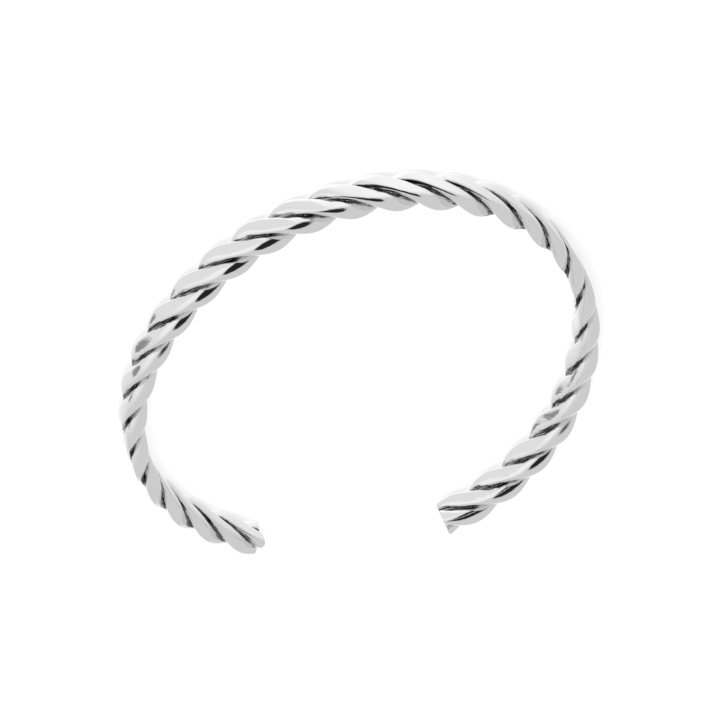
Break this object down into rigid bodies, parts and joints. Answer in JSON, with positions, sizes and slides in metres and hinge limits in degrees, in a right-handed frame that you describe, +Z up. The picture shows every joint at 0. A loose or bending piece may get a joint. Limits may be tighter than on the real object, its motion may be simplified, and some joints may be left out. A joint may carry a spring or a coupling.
{
  "type": "open cuff bangle",
  "caption": "Open cuff bangle of twisted, flattened wires with plain cut ends, polished silver, lying on its side.",
  "frame": {"origin": "on the surface the bangle lies on, under the middle of the box around it", "axes": "+Z up along the ring's axis, the gap between the cut ends facing -Y, +X to the right of it"},
  "size_m": [0.0634, 0.0602, 0.0061],
  "materials": {
    "strand_1": "polished bright silver",
    "strand_2": "polished bright silver",
    "strand_3": "polished bright silver"
  },
  "bodies": {
    "root": {"strand_1": "strand_1", "strand_2": "strand_2", "strand_3": "strand_3"}
  },
  "joints": []
}
